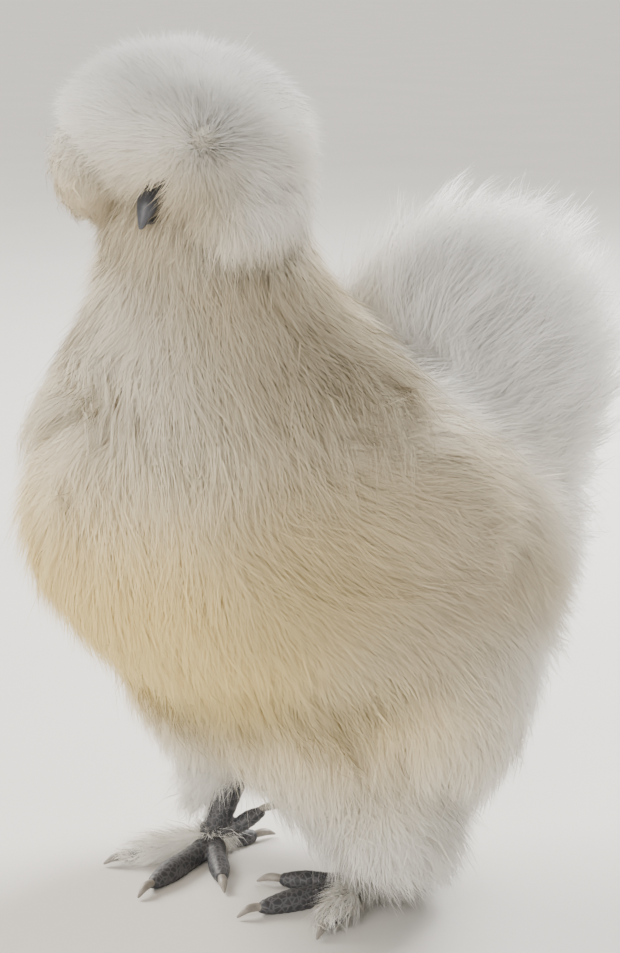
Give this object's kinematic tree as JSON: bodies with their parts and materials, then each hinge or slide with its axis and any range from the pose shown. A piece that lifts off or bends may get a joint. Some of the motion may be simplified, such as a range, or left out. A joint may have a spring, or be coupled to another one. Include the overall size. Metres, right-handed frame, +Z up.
{
  "type": "silkie chicken figure",
  "caption": "Life-size standing fluffy domestic fowl with a globe crest, muffs and beard, plumed tail and feathered feet; a still display figure.",
  "frame": {"origin": "middle of the figure's box, on the floor that it stands on", "axes": "+Z up; the breast points to -Y and the bird's left side to +X"},
  "size_m": [0.164, 0.27, 0.3215],
  "materials": {
    "plumage": "soft white silky feathers without a stiff web",
    "skin": "dark slate bare skin",
    "comb": "dark mulberry, finely warted",
    "beak": "slate-blue horn, satin",
    "eye": "glossy and almost black",
    "leg": "dark slate scaly skin",
    "claw": "pale grey horn"
  },
  "bodies": {
    "root": {"torso": "plumage", "neck": "plumage", "crest": "plumage", "muff_left": "plumage", "muff_right": "plumage", "beard": "plumage", "wing_left": "plumage", "wing_right": "plumage", "tail": "plumage", "thigh_left": "plumage", "thigh_right": "plumage", "head": "skin", "comb": "comb", "beak_upper": "beak", "beak_lower": "beak", "eye_left": "eye", "eye_right": "eye", "shank_left": "leg", "shank_right": "leg", "foot_left": "leg", "foot_right": "leg", "outer_toe_left": "leg", "outer_toe_right": "leg", "claw_left_1": "claw", "claw_left_2": "claw", "claw_left_3": "claw", "claw_left_4": "claw", "claw_left_5": "claw", "claw_right_1": "claw", "claw_right_2": "claw", "claw_right_3": "claw", "claw_right_4": "claw", "claw_right_5": "claw"}
  },
  "joints": []
}
